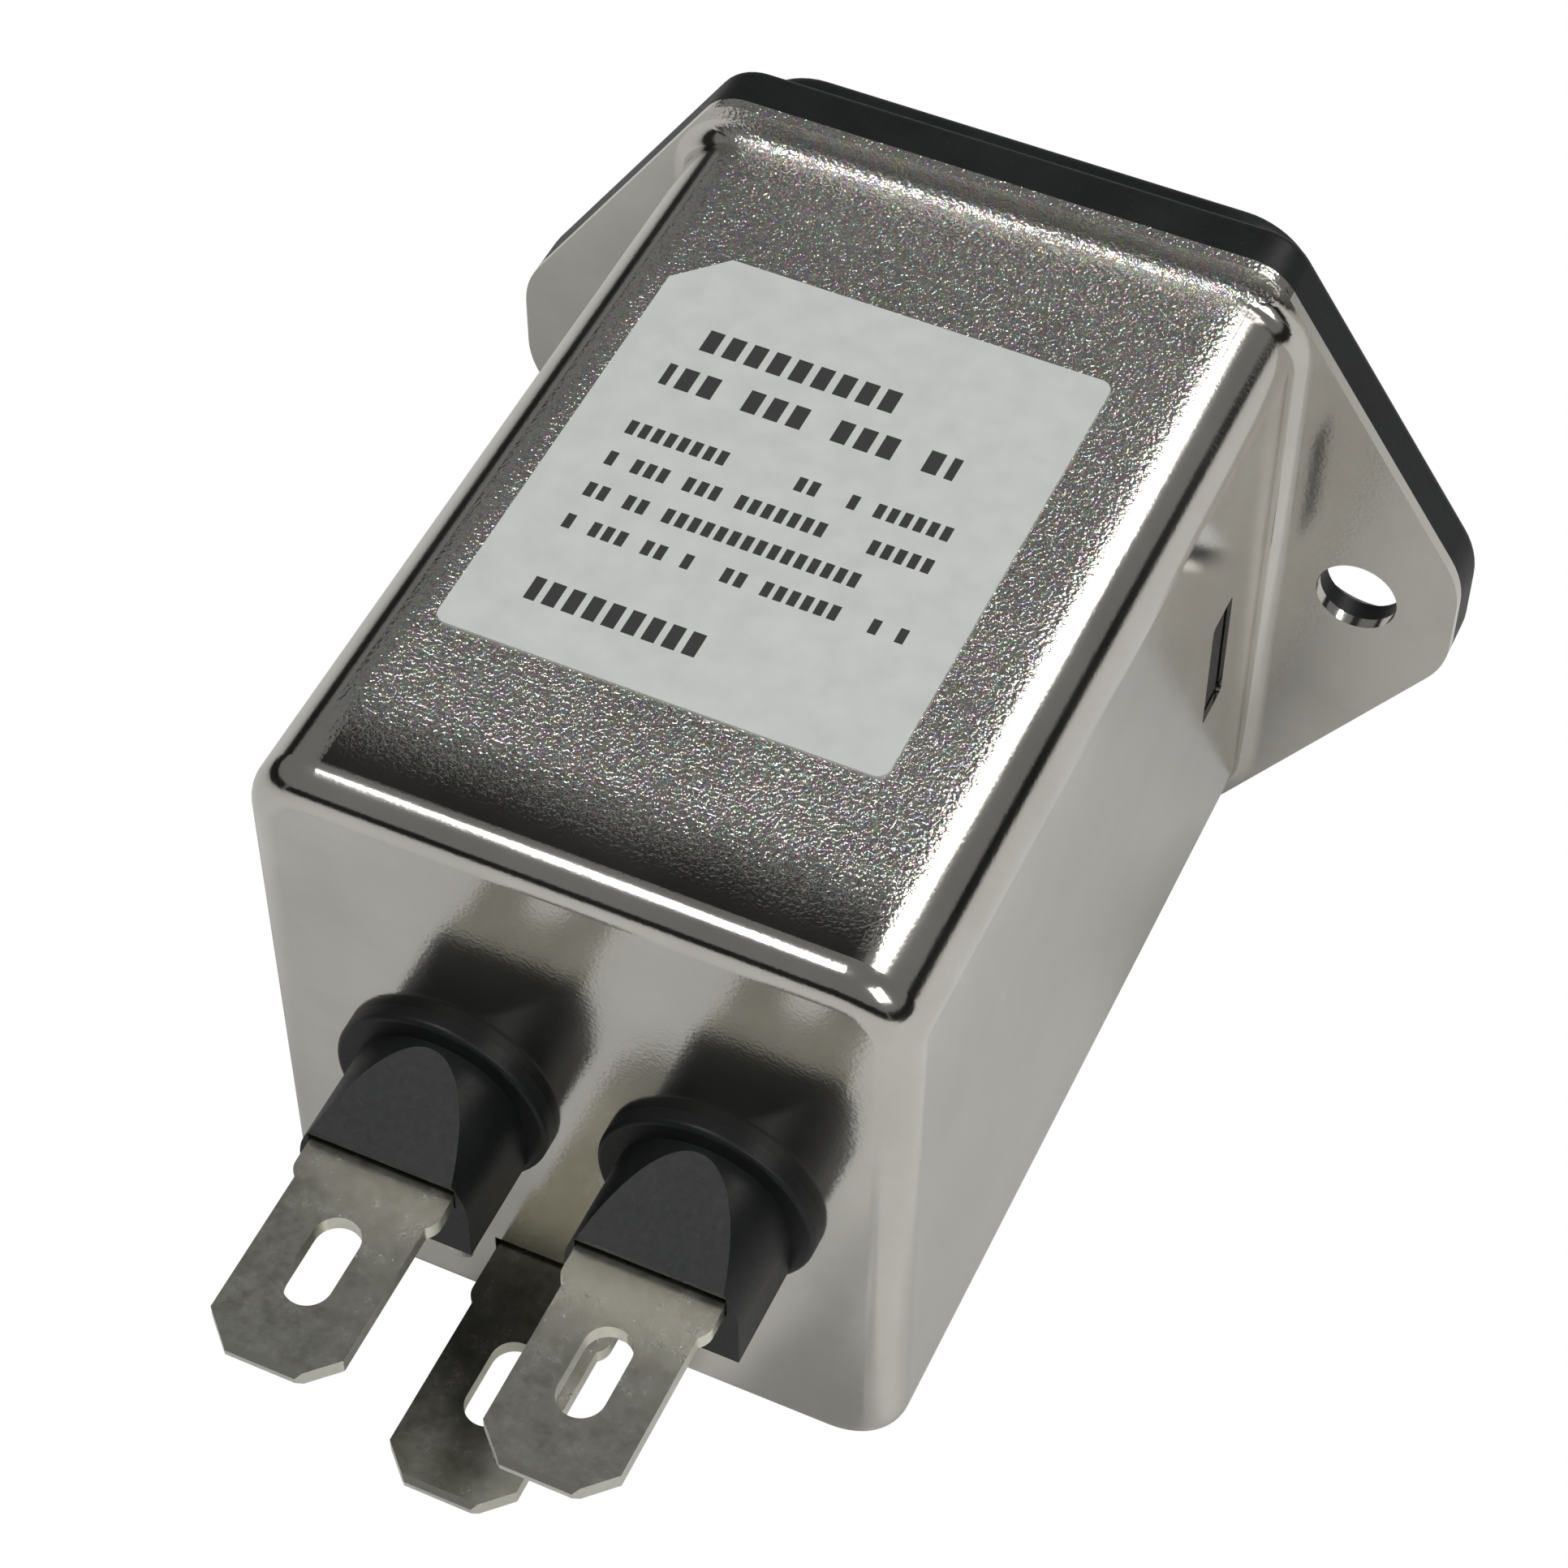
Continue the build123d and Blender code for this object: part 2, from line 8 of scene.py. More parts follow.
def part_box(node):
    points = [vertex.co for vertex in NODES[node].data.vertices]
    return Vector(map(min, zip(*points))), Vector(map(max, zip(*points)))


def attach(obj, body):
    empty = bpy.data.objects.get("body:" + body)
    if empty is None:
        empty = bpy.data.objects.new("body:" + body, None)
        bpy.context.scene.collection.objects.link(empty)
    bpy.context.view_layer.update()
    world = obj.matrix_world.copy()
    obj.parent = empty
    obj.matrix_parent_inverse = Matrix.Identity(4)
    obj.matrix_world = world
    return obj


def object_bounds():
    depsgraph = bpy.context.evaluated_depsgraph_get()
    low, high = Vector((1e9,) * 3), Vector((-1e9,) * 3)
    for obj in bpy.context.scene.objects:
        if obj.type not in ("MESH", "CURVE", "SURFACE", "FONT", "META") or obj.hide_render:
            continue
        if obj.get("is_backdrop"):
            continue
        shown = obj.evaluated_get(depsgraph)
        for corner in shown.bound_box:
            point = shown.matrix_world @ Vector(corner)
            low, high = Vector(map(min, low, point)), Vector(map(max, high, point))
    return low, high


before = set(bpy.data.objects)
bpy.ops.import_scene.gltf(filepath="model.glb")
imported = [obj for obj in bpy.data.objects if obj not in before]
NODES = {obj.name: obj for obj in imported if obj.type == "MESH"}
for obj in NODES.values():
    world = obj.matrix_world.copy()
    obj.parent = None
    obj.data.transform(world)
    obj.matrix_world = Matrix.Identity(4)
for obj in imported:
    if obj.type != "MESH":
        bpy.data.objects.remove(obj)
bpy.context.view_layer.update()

bl_info = {
    "name": "Filtered power inlet",
    "version": (1, 0, 0),
    "blender": (4, 5, 0),
    "location": "View3D > Sidebar > Power inlet",
    "description": "Finishes, label print and stage for a filtered power inlet",
    "category": "Object",
}

MM = 0.001
CAN_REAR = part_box("case")[1].y
LABEL_LOW, LABEL_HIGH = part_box("rating_label")
LABEL_ACROSS = LABEL_HIGH.x - LABEL_LOW.x
LABEL_ALONG = LABEL_HIGH.y - LABEL_LOW.y
EARTH_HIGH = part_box("earth_tab")[1]
CAN_TOP = LABEL_LOW.z
INNER_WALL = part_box("insulating_liner")[1].x

# Plating: where its coarse grain lies, and how deep it is
GRAIN_TOP_DEPTH = 0.2 * MM
GRAIN_REAR_MARGIN = 2.0 * MM
GRAIN_DEPTH = 0.00011
SMOOTH_SHARE = 0.04

# Tabs: how far from the can the greyer tin of the tips begins
GREYER_TIN_START = 7.0 * MM

# Stake mark on the rear wall, beside and below the earth tab's top corner
STAKE_BESIDE = 2.3 * MM
STAKE_BELOW = 1.9 * MM

# Turns of each winding round the ring
WINDING_TURNS = 28.0

# Stage, in metres: lamps by direction from the aim, size and distance
OVERHEAD_DIRECTION = Vector((0.26, 0.13, 0.94))
WINDOW_DIRECTION = Vector((-0.36, -0.58, 0.72))
FILL_DIRECTION = Vector((-0.62, 0.42, 0.66))
NEAR_LAMP_DISTANCE = 0.62
FILL_DISTANCE = 0.70
FLOOR_REACH = 1.2
FLOOR_GAP = 0.02 * MM
CARD_DISTANCE = 0.60
WALL_DISTANCE = 0.95
WALL_CENTRE_HEIGHT = 0.12
WALL_SIZE = (1.8, 0.30)
DARK = (0.02, 0.02, 0.02)


class Signal:
    """A socket that shader maths is written with; each operator adds one Math node."""

    def __init__(self, tree, socket):
        self.tree = tree
        self.socket = socket

    def math(self, operation, *values):
        """The result of a Math node on the values alone."""
        node = self.tree.nodes.new("ShaderNodeMath")
        node.operation = operation
        for place, value in zip(node.inputs, values):
            if isinstance(value, Signal):
                self.tree.links.new(value.socket, place)
            else:
                place.default_value = value
        return Signal(self.tree, node.outputs[0])

    def __add__(self, other):
        return self.math("ADD", self, other)

    def __radd__(self, other):
        return self.math("ADD", other, self)

    def __sub__(self, other):
        return self.math("SUBTRACT", self, other)

    def __rsub__(self, other):
        return self.math("SUBTRACT", other, self)

    def __mul__(self, other):
        return self.math("MULTIPLY", self, other)

    def __rmul__(self, other):
        return self.math("MULTIPLY", other, self)

    def __truediv__(self, other):
        return self.math("DIVIDE", self, other)

    def __gt__(self, other):
        return self.math("GREATER_THAN", self, other)

    def __lt__(self, other):
        return self.math("LESS_THAN", self, other)

    def abs(self):
        """The value without its sign."""
        return self.math("ABSOLUTE", self)

    def floor(self):
        """The whole number at or below the value."""
        return self.math("FLOOR", self)

    def fraction(self):
        """What the value has above its whole number."""
        return self.math("FRACT", self)

    def sine(self):
        """The sine of the value in radians."""
        return self.math("SINE", self)

    def clamp(self, low=0.0, high=1.0):
        """The value kept between two limits."""
        return self.math("MINIMUM", self.math("MAXIMUM", self, low), high)


class Finish:
    """A material with a Principled shader, and short ways to add its nodes."""

    def __init__(self, name, color, metallic=0.0, roughness=0.5):
        self.material = bpy.data.materials.new(name)
        self.material.use_nodes = True
        self.tree = self.material.node_tree
        self.shader = self.tree.nodes["Principled BSDF"]
        self.shader.inputs["Base Color"].default_value = (*color, 1)
        self.shader.inputs["Metallic"].default_value = metallic
        self.shader.inputs["Roughness"].default_value = roughness
        place = self.tree.nodes.new("ShaderNodeTexCoord")
        self.place = place.outputs["Object"]

    def node(self, kind, settings=None, **values):
        """A node of a kind, with its settings and the values or links of its sockets."""
        node = self.tree.nodes.new(kind)
        for name, value in (settings or {}).items():
            if name == "stops":
                elements = node.color_ramp.elements
                while len(elements) < len(value):
                    elements.new(0.5)
                for stop, (position, color) in zip(elements, value):
                    stop.position = position
                    stop.color = (*color, 1)
            else:
                setattr(node, name, value)
        for name, value in values.items():
            socket = node.inputs[name.replace("_", " ")]
            if isinstance(value, Signal):
                self.tree.links.new(value.socket, socket)
            elif isinstance(value, bpy.types.NodeSocket):
                self.tree.links.new(value, socket)
            else:
                socket.default_value = value
        return node

    def axes(self):
        """The piece's X, Y and Z in metres."""
        split = self.node("ShaderNodeSeparateXYZ", Vector=self.place)
        return [Signal(self.tree, out) for out in split.outputs]

    def noise(self, scale, detail=3.0, roughness=0.5):
        """Fractal noise in object space, from 0 to 1; scale is in repeats per metre."""
        node = self.node("ShaderNodeTexNoise", Vector=self.place, Scale=scale, Detail=detail,
                         Roughness=roughness)
        return Signal(self.tree, node.outputs["Fac"])

    def cells(self, scale):
        """Distance to the nearest grain of a cellular pattern, and that grain's random colour."""
        node = self.node("ShaderNodeTexVoronoi", Vector=self.place, Scale=scale)
        return Signal(self.tree, node.outputs["Distance"]), node.outputs["Color"]

    def ramp(self, factor, *stops):
        """A colour ramp over a factor."""
        node = self.node("ShaderNodeValToRGB", {"stops": stops}, Fac=factor)
        return node.outputs["Color"]

    def mix(self, factor, first, second):
        """A colour between two colours."""
        node = self.node("ShaderNodeMix", {"data_type": "RGBA"})
        places = (node.inputs[0], node.inputs[6], node.inputs[7])
        for socket, value in zip(places, (factor, first, second)):
            if isinstance(value, Signal):
                self.tree.links.new(value.socket, socket)
            elif isinstance(value, bpy.types.NodeSocket):
                self.tree.links.new(value, socket)
            else:
                socket.default_value = (*value, 1) if isinstance(value, tuple) else value
        return node.outputs[2]

    def feed(self, socket, value):
        """Links a value into one of the shader's sockets."""
        source = value.socket if isinstance(value, Signal) else value
        self.tree.links.new(source, self.shader.inputs[socket])

    def bump(self, height, strength, distance):
        """Relief from a height, with its depth in metres."""
        node = self.node("ShaderNodeBump", Height=height, Strength=strength, Distance=distance)
        self.tree.links.new(node.outputs["Normal"], self.shader.inputs["Normal"])


def nickel_plate(settings):
    """Bright nickel on drawn steel: faint smears all over, and on the flat top a coarse
    sparkling grain that fades out towards the long edges and the rear."""
    bright = tuple(settings.nickel_bright)
    dull = tuple(settings.nickel_dull)
    finish = Finish("bright_nickel_plate", bright, metallic=1.0, roughness=0.16)
    grain = finish.noise(5200, 2.0)
    smear = finish.noise(160, 4.0, 0.6)
    pits, tint = finish.cells(4200)
    x, y, z = finish.axes()
    between_edges = ((INNER_WALL - x.abs()) * 400).clamp()
    on_top = ((z - CAN_TOP + GRAIN_TOP_DEPTH) * 8000).clamp()
    rear_fade = ((CAN_REAR - y - GRAIN_REAR_MARGIN) * 250).clamp()
    sparkle = between_edges * on_top * rear_fade
    warm = finish.ramp(smear, (0.35, dull), (0.65, bright))
    finish.feed("Base Color", finish.mix(sparkle * 0.14 + 0.01, warm, tint))
    finish.feed("Roughness", (0.10 + smear * 0.07 + sparkle * 0.10).clamp(0.05, 0.5))
    relief = (grain * 0.8 + pits * 0.2) * (sparkle * (1.0 - SMOOTH_SHARE) + SMOOTH_SHARE)
    finish.bump(relief, 1.0, GRAIN_DEPTH)
    return finish.material


def tinned_brass(settings):
    """Tin over brass: warm blotches, greyer and speckled towards the tips."""
    bright = tuple(settings.tin_bright)
    middle = tuple(settings.tin_middle)
    dull = tuple(settings.tin_dull)
    finish = Finish("tinned_brass", middle, metallic=1.0, roughness=0.22)
    blotch = finish.noise(900, 4.0, 0.65)
    speckle = finish.noise(3800, 2.0)
    x, y, z = finish.axes()
    toward_tip = ((y - CAN_REAR - GREYER_TIN_START) * 110).clamp()
    color = finish.ramp(blotch, (0.3, dull), (0.5, middle), (0.75, bright))
    # Fine speckles all over, and a greyer tone that grows past a set distance from the can towards the tips
    speckle_and_tip_grey = (speckle * 0.3 + toward_tip * 0.55).clamp()
    finish.feed("Base Color", finish.mix(speckle_and_tip_grey, color, tuple(settings.tin_tip_grey)))
    finish.feed("Roughness", (0.14 + blotch * 0.14 + speckle * 0.08).clamp(0.05, 0.6))
    finish.bump(blotch * 0.5 + speckle * 0.5, 0.4, 0.000008)
    return finish.material


def black_moulding(settings):
    """Black moulded plastic with a soft sheen, fine spark-eroded grain and faint dust."""
    dark = tuple(settings.moulding_dark)
    pale = tuple(settings.moulding_pale)
    finish = Finish("black_moulding", dark, roughness=0.36)
    grain = finish.noise(4200, 3.0, 0.6)
    cloud = finish.noise(260, 3.0)
    dust = (finish.noise(7000, 1.0) - 0.66).clamp() * 3.0
    base = finish.ramp(cloud, (0.3, dark), (0.7, pale))
    finish.shader.inputs["Specular IOR Level"].default_value = 0.30
    finish.feed("Base Color", finish.mix(dust.clamp() * 0.20, base, (0.16, 0.16, 0.16)))
    finish.feed("Roughness", (0.34 + grain * 0.16 + cloud * 0.10).clamp(0.1, 0.8))
    finish.bump(grain, 0.3, 0.00001)
    return finish.material


def print_bars(u, v, rows, row_pitch, height, cell, gap, margin):
    """Marks that stand for lines of print: each row is cut into cells, and some stay empty.
    A mark is where the place within a row is below the stroke's height, the place within a
    cell is below its width, and a number drawn from the cell's index is above a limit."""
    row = (v / row_pitch).floor()
    in_row = (v / row_pitch).fraction() < height
    column = (u / cell).floor()
    chance = ((row * 12.9898 + column * 78.233).sine() * 437.585).fraction()
    in_cell = (u / cell).fraction() < (1.0 - gap)
    inside = (u > margin[0]) * (u < margin[1]) * (v > 0.0) * (v < rows * row_pitch)
    return in_row * in_cell * (chance > 0.22) * inside


def label_film(settings):
    """Pale satin film with rows of plain strokes in the places where print goes."""
    dark = tuple(settings.label_dark)
    pale = tuple(settings.label_pale)
    finish = Finish("label_film", pale, roughness=0.42)
    x, y, z = finish.axes()
    across = LABEL_ACROSS
    along = LABEL_ALONG
    u = LABEL_HIGH.x - x
    v = y - LABEL_LOW.y
    title = print_bars(u, v - along * 0.18, rows=2, row_pitch=along * 0.105, height=0.52,
                       cell=across * 0.052, gap=0.34, margin=(across * 0.12, across * 0.80))
    body = print_bars(u, v - along * 0.44, rows=4, row_pitch=along * 0.082, height=0.42,
                      cell=across * 0.030, gap=0.36, margin=(across * 0.12, across * 0.90))
    foot = print_bars(u, v - along * 0.84, rows=1, row_pitch=along * 0.09, height=0.60,
                      cell=across * 0.045, gap=0.34, margin=(across * 0.14, across * 0.62))
    ink = (title + body + foot).clamp()
    top = z > (LABEL_HIGH.z - 0.02 * MM)
    mottle = finish.noise(700, 3.0)
    paper = finish.ramp(mottle, (0.3, dark), (0.7, pale))
    finish.feed("Base Color", finish.mix(ink * top * 0.96, paper, tuple(settings.label_ink)))
    finish.feed("Roughness", (0.36 + mottle * 0.12 - ink * top * 0.08).clamp(0.1, 0.8))
    finish.bump(finish.noise(5200, 2.0), 0.12, 0.000006)
    return finish.material


def plain_finish(name, low, high, roughness, scale, metallic=0.0):
    """A mottled finish for the hidden filter parts: two close colours, grain and relief."""
    finish = Finish(name, low, metallic=metallic, roughness=roughness)
    mottle = finish.noise(scale, 4.0, 0.6)
    finish.feed("Base Color", finish.ramp(mottle, (0.3, low), (0.7, high)))
    finish.feed("Roughness", (roughness + (mottle - 0.5) * 0.2).clamp(0.05, 0.9))
    finish.bump(finish.noise(scale * 6, 2.0), 0.3, 0.00001)
    return finish.material


def copper_winding():
    """Enamelled wire: its turns are grooves, the sine of the angle round the ring times a count."""
    finish = Finish("enamelled_copper", (0.62, 0.27, 0.10), metallic=0.85, roughness=0.28)
    core_low, core_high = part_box("choke_core")
    x, y, z = finish.axes()
    middle = (core_low.y + core_high.y) / 2
    angle = x.math("ARCTAN2", x - (core_low.x + core_high.x) / 2, y - middle)
    groove = (angle * WINDING_TURNS).sine()
    mottle = finish.noise(900, 3.0)
    finish.feed("Base Color", finish.ramp(mottle, (0.3, (0.52, 0.21, 0.07)), (0.7, (0.74, 0.36, 0.15))))
    finish.feed("Roughness", (0.22 + mottle * 0.14).clamp())
    finish.bump(groove, 0.8, 0.00015)
    return finish.material


def dress(node, material):
    """Gives a CAD node one material all over."""
    piece = NODES[node]
    piece.data.materials.clear()
    piece.data.materials.append(material)


def surface(name, points, closed_u=False, smooth=True):
    """A mesh object from a grid of points shaped rows, columns, 3; quads join neighbours."""
    rows, columns = points.shape[:2]
    index = np.arange(rows * columns).reshape(rows, columns)
    if closed_u:
        index = np.concatenate([index, index[:, :1]], axis=1)
    corners = [index[:-1, :-1], index[:-1, 1:], index[1:, 1:], index[1:, :-1]]
    quads = np.stack(corners, axis=-1).reshape(-1, 4)
    mesh = bpy.data.meshes.new(name)
    mesh.from_pydata(points.reshape(-1, 3).tolist(), [], quads.tolist())
    mesh.update()
    mesh.polygons.foreach_set("use_smooth", np.full(len(mesh.polygons), smooth))
    piece = bpy.data.objects.new(name, mesh)
    bpy.context.scene.collection.objects.link(piece)
    return piece


def stake_dome(name, centre, radius, rise):
    """A low dome on the rear wall: its height is the rise times one minus the square of the
    share of the radius, which runs from the rim almost to the middle."""
    share = np.linspace(0.02, 1, 14)[::-1]
    turn = np.linspace(0, 2 * math.pi, 40, endpoint=False)
    share_grid, turn_grid = np.meshgrid(share, turn, indexing="ij")
    x = centre[0] + radius * share_grid * np.cos(turn_grid)
    y = centre[1] + rise * (1 - share_grid ** 2)
    z = centre[2] + radius * share_grid * np.sin(turn_grid)
    return surface(name, np.stack([x, y, z], axis=-1), closed_u=True)


def color_setting(name, description, default):
    """A colour that the user can change."""
    return bpy.props.FloatVectorProperty(name=name, description=description, subtype="COLOR", default=default)


class InletSettings(bpy.types.PropertyGroup):
    """Sizes and colours of the inlet's finishes."""

    nickel_bright: color_setting("Nickel", "Plating where it is clean", (0.67, 0.65, 0.61))
    nickel_dull: color_setting("Smeared nickel", "Plating under its faint smears", (0.61, 0.59, 0.55))
    tin_bright: color_setting("Bright tin", "Palest blotches of the terminals", (0.90, 0.89, 0.80))
    tin_middle: color_setting("Tin", "Main colour of the terminals", (0.86, 0.84, 0.72))
    tin_dull: color_setting("Dull tin", "Darkest blotches of the terminals", (0.76, 0.74, 0.62))
    tin_tip_grey: color_setting("Grey tip tin", "Speckles and tips of the terminals", (0.50, 0.50, 0.47))
    moulding_dark: color_setting("Moulding", "Darker clouds of the plastic", (0.006, 0.0065, 0.007))
    moulding_pale: color_setting("Pale moulding", "Paler clouds of the plastic", (0.012, 0.013, 0.014))
    label_pale: color_setting("Label", "Paler mottle of the label film", (0.66, 0.68, 0.655))
    label_dark: color_setting("Dark label", "Darker mottle of the label film", (0.60, 0.625, 0.60))
    label_ink: color_setting("Ink", "Strokes on the label", (0.025, 0.025, 0.025))
    stake_radius: bpy.props.FloatProperty(
        name="Stake radius", description="Radius of the stake mark on the rear wall",
        subtype="DISTANCE", default=0.0008)
    stake_rise: bpy.props.FloatProperty(
        name="Stake rise", description="Height of the stake mark", subtype="DISTANCE", default=0.0003)


class StageSettings(bpy.types.PropertyGroup):
    """Camera and light of the stage."""

    azimuth: bpy.props.FloatProperty(
        name="Azimuth", description="Camera's turn about the object",
        subtype="ANGLE", default=math.radians(204.467))
    elevation: bpy.props.FloatProperty(
        name="Elevation", description="Camera's height angle",
        subtype="ANGLE", default=math.radians(50.436))
    roll: bpy.props.FloatProperty(
        name="Roll", description="Camera's roll", subtype="ANGLE", default=math.radians(0.42))
    distance: bpy.props.FloatProperty(
        name="Distance", description="Camera's distance from its aim",
        subtype="DISTANCE", default=0.1746)
    aim: bpy.props.FloatVectorProperty(
        name="Aim", description="Point that the camera looks at",
        subtype="XYZ", default=(-0.00497, 0.03231, 0.01465))
    focal: bpy.props.FloatProperty(
        name="Focal length", description="Lens on a 36 mm wide sensor, in millimetres", default=95.46)
    shift: bpy.props.FloatVectorProperty(
        name="Shift", description="Lens shift in image widths", size=2, default=(-0.0065, -0.0090))
    floor_color: bpy.props.FloatVectorProperty(
        name="Floor", description="Colour of the floor", subtype="COLOR", default=(0.80, 0.80, 0.79))
    world_level: bpy.props.FloatProperty(
        name="World", description="Level of the surrounding light", default=0.20)
    overhead_power: bpy.props.FloatProperty(
        name="Overhead lamp", description="Power of the lamp above, in watts", default=1.1)
    window_power: bpy.props.FloatProperty(
        name="Window lamp", description="Power of the lamp beyond the object, in watts", default=0.9)
    fill_power: bpy.props.FloatProperty(
        name="Fill lamp", description="Power of the lamp on the camera's side, in watts", default=1.6)


class INLET_OT_can(bpy.types.Operator):
    """Plates the drawn can and its flange"""
    bl_idname = "inlet.can"
    bl_label = "Can"

    def execute(self, context):
        settings = context.scene.inlet
        material = nickel_plate(settings)
        dress("case", material)
        centre = (EARTH_HIGH.x + STAKE_BESIDE, CAN_REAR, EARTH_HIGH.z - STAKE_BELOW)
        stake = stake_dome("stake_mark", centre, settings.stake_radius, settings.stake_rise)
        stake.data.materials.append(material)
        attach(stake, "root")
        return {"FINISHED"}


class INLET_OT_mouldings(bpy.types.Operator):
    """Finishes the moulded inlet and the two terminal bushings"""
    bl_idname = "inlet.mouldings"
    bl_label = "Mouldings"

    def execute(self, context):
        material = black_moulding(context.scene.inlet)
        for node in ("inlet_housing", "line_bushing", "neutral_bushing"):
            dress(node, material)
        return {"FINISHED"}


class INLET_OT_terminals(bpy.types.Operator):
    """Finishes the tabs, the contact blades and the earth strap"""
    bl_idname = "inlet.terminals"
    bl_label = "Terminals"

    def execute(self, context):
        material = tinned_brass(context.scene.inlet)
        for contact in ("line", "neutral", "earth"):
            dress(f"{contact}_tab", material)
            dress(f"{contact}_pin", material)
        dress("earth_strap", material)
        return {"FINISHED"}


class INLET_OT_label(bpy.types.Operator):
    """Finishes the label with plain strokes in place of print"""
    bl_idname = "inlet.label"
    bl_label = "Label"

    def execute(self, context):
        dress("rating_label", label_film(context.scene.inlet))
        return {"FINISHED"}


class INLET_OT_filter(bpy.types.Operator):
    """Finishes the filter parts inside the can"""
    bl_idname = "inlet.filter"
    bl_label = "Filter parts"

    def execute(self, context):
        liner = plain_finish("liner_film", (0.78, 0.75, 0.64), (0.86, 0.83, 0.73), 0.45, 300)
        laminate = plain_finish("board_laminate", (0.06, 0.20, 0.09), (0.10, 0.29, 0.14), 0.4, 800)
        ferrite = plain_finish("ferrite", (0.05, 0.05, 0.055), (0.10, 0.10, 0.11), 0.6, 900)
        copper = copper_winding()
        box_resin = plain_finish("capacitor_box", (0.70, 0.55, 0.13), (0.80, 0.66, 0.20), 0.35, 500)
        disc_resin = plain_finish("capacitor_disc", (0.08, 0.20, 0.48), (0.14, 0.30, 0.60), 0.3, 500)
        wire = plain_finish("tinned_wire", (0.62, 0.62, 0.60), (0.74, 0.74, 0.72), 0.25, 1500, metallic=1.0)
        lacquer = plain_finish("resistor_coat", (0.42, 0.50, 0.58), (0.52, 0.60, 0.68), 0.35, 900)
        dress("insulating_liner", liner)
        dress("carrier_board", laminate)
        dress("choke_core", ferrite)
        for side in ("line", "neutral"):
            dress(f"{side}_winding", copper)
            dress(f"{side}_y_capacitor", disc_resin)
            dress(f"{side}_pin_lead", wire)
            dress(f"{side}_tab_lead", wire)
        dress("front_x_capacitor", box_resin)
        dress("rear_x_capacitor", box_resin)
        dress("bleed_resistor", lacquer)
        return {"FINISHED"}


def look_along(direction, roll=0.0):
    """Rotation of a camera or lamp whose back points along direction, with Z up."""
    back = Vector(direction).normalized()
    right = Vector((0, 0, 1)).cross(back).normalized()
    up = back.cross(right)
    turned = Matrix((right, up, back)).transposed()
    return (turned @ Matrix.Rotation(roll, 3, "Z")).to_4x4()


def add_lamp(name, place, aim, size, power, color=(1, 1, 1)):
    """A soft rectangular lamp that faces a point."""
    light = bpy.data.lights.new(name, "AREA")
    light.shape = "RECTANGLE"
    light.size, light.size_y = size
    light.energy = power
    light.color = color
    lamp = bpy.data.objects.new(name, light)
    bpy.context.scene.collection.objects.link(lamp)
    lamp.matrix_world = Matrix.Translation(place) @ look_along(place - aim)


def add_card(name, centre, facing, width, height, material):
    """A flat card as stage, whose face turns towards a direction."""
    turn = look_along(facing)
    corners = np.array([[-0.5, -0.5, 0], [0.5, -0.5, 0], [-0.5, 0.5, 0], [0.5, 0.5, 0]])
    points = corners * (width, height, 1) @ np.array(turn.to_3x3()).T + np.array(centre)
    card = surface(name, points.reshape(2, 2, 3), smooth=False)
    card.data.materials.append(material)
    card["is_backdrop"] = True


def stage_material(name, color, white_to_camera):
    """A matt stage material, which the camera may see as plain white."""
    material = bpy.data.materials.new(name)
    material.use_nodes = True
    tree = material.node_tree
    shader = tree.nodes["Principled BSDF"]
    shader.inputs["Base Color"].default_value = (*color, 1)
    shader.inputs["Roughness"].default_value = 0.9
    if white_to_camera:
        output = tree.nodes["Material Output"]
        path = tree.nodes.new("ShaderNodeLightPath")
        white = tree.nodes.new("ShaderNodeEmission")
        white.inputs["Strength"].default_value = 1.0
        mix = tree.nodes.new("ShaderNodeMixShader")
        tree.links.new(path.outputs["Is Camera Ray"], mix.inputs["Fac"])
        tree.links.new(shader.outputs[0], mix.inputs[1])
        tree.links.new(white.outputs[0], mix.inputs[2])
        tree.links.new(mix.outputs[0], output.inputs["Surface"])
    return material


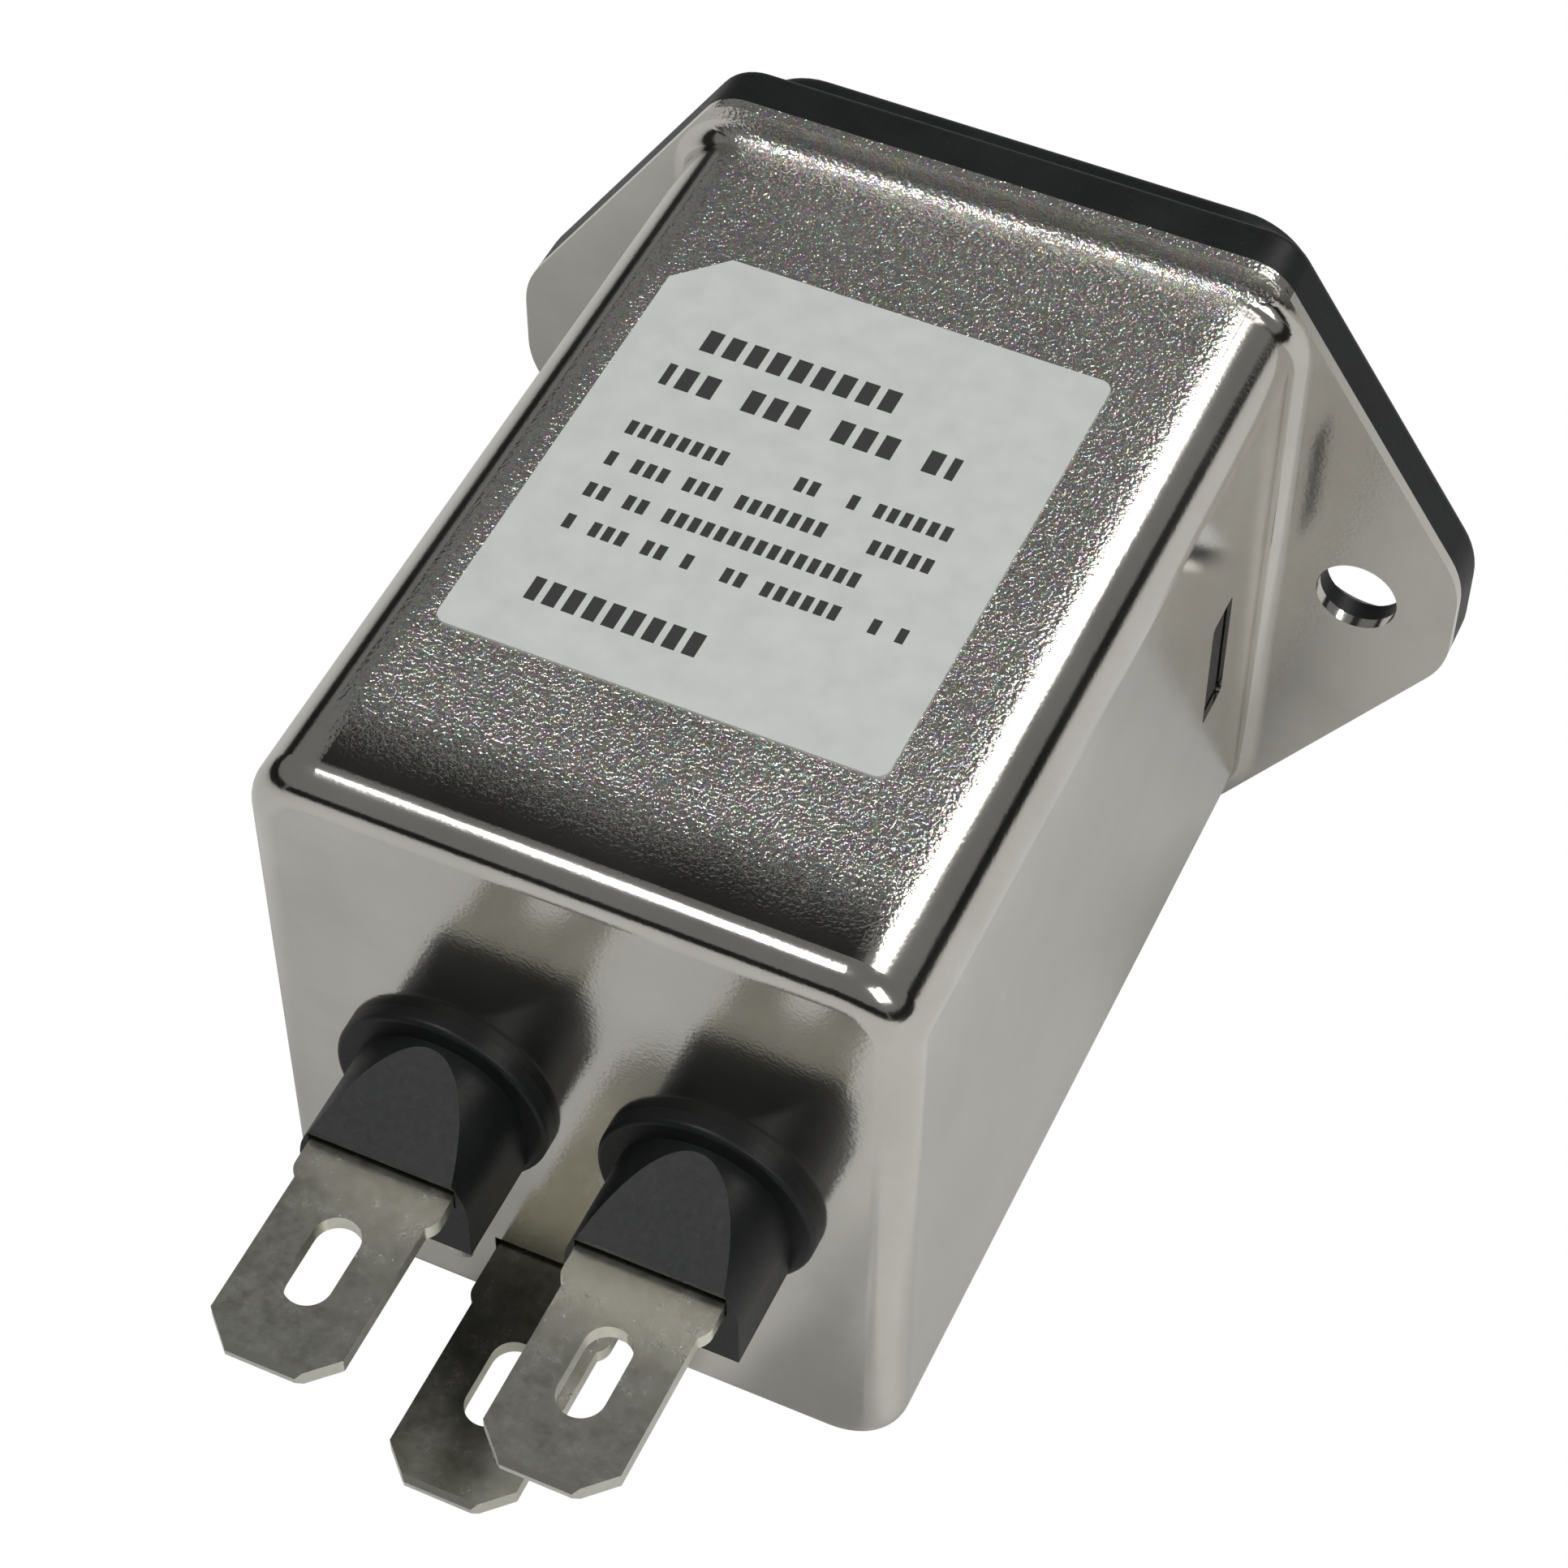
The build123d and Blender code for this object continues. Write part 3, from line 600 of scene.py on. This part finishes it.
class INLET_OT_stage(bpy.types.Operator):
    """Sets the floor, the cards, the lamps, the world and the camera"""
    bl_idname = "inlet.stage"
    bl_label = "Stage"

    def execute(self, context):
        settings = context.scene.inlet_stage
        floor_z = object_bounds()[0][2] - FLOOR_GAP
        edge = np.array([-FLOOR_REACH, FLOOR_REACH])
        floor_x, floor_y = np.meshgrid(edge, edge)
        corners = np.stack([floor_x, floor_y, np.full((2, 2), floor_z)], axis=-1)
        floor = surface("floor", corners, smooth=False)
        floor.data.materials.append(stage_material("pale_floor", settings.floor_color, True))
        floor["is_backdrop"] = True
        aim = Vector(settings.aim)
        turn, height = settings.azimuth, settings.elevation
        level = math.cos(height)
        back = Vector((math.sin(turn) * level, -math.cos(turn) * level, math.sin(height)))
        mirrored = Vector((-back.x, -back.y, back.z))
        card = stage_material("dark_card", DARK, False)
        add_card("dark_card", aim + mirrored * CARD_DISTANCE, -mirrored, 0.30, 0.22, card)
        add_lamp("overhead", aim + OVERHEAD_DIRECTION * NEAR_LAMP_DISTANCE, aim,
                 (0.20, 0.06), settings.overhead_power)
        add_lamp("window", aim + WINDOW_DIRECTION * NEAR_LAMP_DISTANCE, aim,
                 (0.10, 0.22), settings.window_power, (1.0, 0.99, 0.96))
        add_lamp("fill", aim + FILL_DIRECTION * FILL_DISTANCE, aim,
                 (0.30, 0.30), settings.fill_power)
        wall = stage_material("dark_wall", DARK, False)
        for name, x, y in (("behind", 0, 1), ("left", -1, 0), ("right", 1, 0)):
            centre = (x * WALL_DISTANCE, y * WALL_DISTANCE, WALL_CENTRE_HEIGHT)
            add_card(f"dark_wall_{name}", centre, (-x, -y, 0), *WALL_SIZE, wall)
        world = bpy.data.worlds.new("studio")
        world.use_nodes = True
        sky = world.node_tree.nodes["Background"]
        sky.inputs["Color"].default_value = (1, 1, 1, 1)
        sky.inputs["Strength"].default_value = settings.world_level
        context.scene.world = world
        camera_data = bpy.data.cameras.new("camera")
        camera_data.lens = settings.focal
        camera_data.sensor_width = 36
        camera_data.sensor_fit = "HORIZONTAL"
        camera_data.shift_x, camera_data.shift_y = settings.shift
        camera_data.clip_start = 0.001
        camera = bpy.data.objects.new("camera", camera_data)
        context.scene.collection.objects.link(camera)
        place = Matrix.Translation(aim + back * settings.distance)
        camera.matrix_world = place @ look_along(back, settings.roll)
        context.scene.camera = camera
        context.scene.view_settings.view_transform = "Standard"
        return {"FINISHED"}


class INLET_PT_panel(bpy.types.Panel):
    """Lists the inlet's pieces and settings"""
    bl_idname = "INLET_PT_panel"
    bl_label = "Power inlet"
    bl_space_type = "VIEW_3D"
    bl_region_type = "UI"
    bl_category = "Power inlet"

    def draw(self, context):
        for operator in OPERATORS:
            self.layout.operator(operator.bl_idname)
        for name in InletSettings.__annotations__:
            self.layout.prop(context.scene.inlet, name)


OPERATORS = (
    INLET_OT_can,
    INLET_OT_mouldings,
    INLET_OT_terminals,
    INLET_OT_label,
    INLET_OT_filter,
    INLET_OT_stage,
)
CLASSES = (InletSettings, StageSettings, *OPERATORS, INLET_PT_panel)


def register():
    """Registers the classes and their settings."""
    for cls in CLASSES:
        bpy.utils.register_class(cls)
    bpy.types.Scene.inlet = bpy.props.PointerProperty(type=InletSettings)
    bpy.types.Scene.inlet_stage = bpy.props.PointerProperty(type=StageSettings)


def unregister():
    """Takes the classes and their settings away."""
    del bpy.types.Scene.inlet_stage
    del bpy.types.Scene.inlet
    for cls in reversed(CLASSES):
        bpy.utils.unregister_class(cls)


def main():
    """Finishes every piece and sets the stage."""
    register()
    bpy.ops.inlet.can()
    bpy.ops.inlet.mouldings()
    bpy.ops.inlet.terminals()
    bpy.ops.inlet.label()
    bpy.ops.inlet.filter()
    bpy.ops.inlet.stage()


if __name__ == "__main__":
    main()
